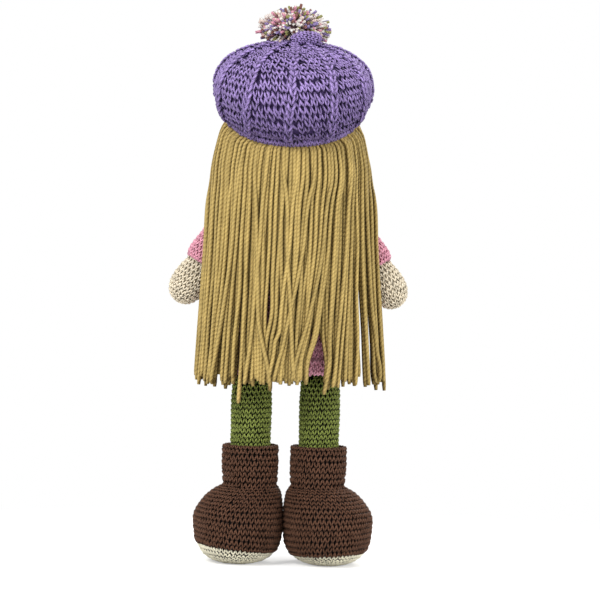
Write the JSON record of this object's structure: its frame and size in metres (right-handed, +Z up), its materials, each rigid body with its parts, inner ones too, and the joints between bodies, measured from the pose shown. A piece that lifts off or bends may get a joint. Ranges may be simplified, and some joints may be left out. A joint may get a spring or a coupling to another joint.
{
  "type": "crochet doll",
  "caption": "Standing crocheted doll with long yarn hair, a lift-off beret with a pompom, a sweater, leggings and round-toed boots.",
  "frame": {"origin": "on the floor, under the middle of the doll's bounding box", "axes": "+Z up from the soles to the pompom, the doll faces -Y, and +X is the doll's left"},
  "size_m": [0.15, 0.1062, 0.35],
  "materials": {
    "pink_yarn": "crocheted cotton yarn",
    "green_yarn": "crocheted cotton yarn",
    "cream_yarn": "crocheted cotton yarn",
    "blond_yarn": "straight plied acrylic yarn",
    "lilac_yarn": "crocheted cotton yarn",
    "mixed_yarn": "cut yarn ends in many colours",
    "brown_yarn": "crocheted cotton yarn",
    "sole_yarn": "crocheted cotton yarn",
    "stuffing": "loose polyester fibre",
    "black_plastic": "polished",
    "white_plastic": "moulded",
    "wood": "plain turned dowel",
    "board": "plain grey board"
  },
  "bodies": {
    "torso": {"sweater_body": "pink_yarn", "sweater_hem": "pink_yarn", "trouser_seat": "green_yarn", "torso_stuffing": "stuffing", "neck_tube": "cream_yarn", "neck_dowel": "wood"},
    "head": {"head_shell": "cream_yarn", "head_stuffing": "stuffing", "eye_left": "black_plastic", "eye_right": "black_plastic", "eye_washer_left": "white_plastic", "eye_washer_right": "white_plastic", "nose": "cream_yarn", "mouth_stitch": "pink_yarn", "wig_cap": "blond_yarn", "hair_back": "blond_yarn", "hair_left": "blond_yarn", "hair_right": "blond_yarn"},
    "beret": {"beret_crown": "lilac_yarn", "beret_band": "lilac_yarn", "beret_tab": "lilac_yarn", "pompom": "mixed_yarn"},
    "arm_left": {"sleeve_left": "pink_yarn", "hand_left": "cream_yarn", "arm_stuffing_left": "stuffing"},
    "arm_right": {"sleeve_right": "pink_yarn", "hand_right": "cream_yarn", "arm_stuffing_right": "stuffing"},
    "leg_left": {"legging_left": "green_yarn", "leg_stuffing_left": "stuffing", "boot_left": "brown_yarn", "boot_rim_left": "brown_yarn", "boot_stuffing_left": "stuffing", "sole_left": "sole_yarn", "insole_left": "board"},
    "leg_right": {"legging_right": "green_yarn", "leg_stuffing_right": "stuffing", "boot_right": "brown_yarn", "boot_rim_right": "brown_yarn", "boot_stuffing_right": "stuffing", "sole_right": "sole_yarn", "insole_right": "board"}
  },
  "joints": [
    {"name": "head_turn", "type": "hinge", "parent": "torso", "child": "head", "pos_m": [0, -0.01034, 0.2331], "axis": [0, 0, 1], "range_deg": [-30, 30], "deforming": ["hair_back", "hair_left", "hair_right"]},
    {"name": "beret_lift", "type": "slide", "parent": "head", "child": "beret", "axis": [0, 0.4226, 0.9063], "range_m": [0, 0.12]},
    {"name": "shoulder_left", "type": "hinge", "parent": "torso", "child": "arm_left", "pos_m": [0.035, -0.01034, 0.2219], "axis": [-1, 0, 0], "range_deg": [0, 90]},
    {"name": "shoulder_right", "type": "hinge", "parent": "torso", "child": "arm_right", "pos_m": [-0.035, -0.01034, 0.2219], "axis": [-1, 0, 0], "range_deg": [0, 90]},
    {"name": "hip_left", "type": "hinge", "parent": "torso", "child": "leg_left", "pos_m": [0.0215, -0.01034, 0.10825], "axis": [-1, 0, 0], "range_deg": [0, 85]},
    {"name": "hip_right", "type": "hinge", "parent": "torso", "child": "leg_right", "pos_m": [-0.0215, -0.01034, 0.10825], "axis": [-1, 0, 0], "range_deg": [0, 85]}
  ]
}
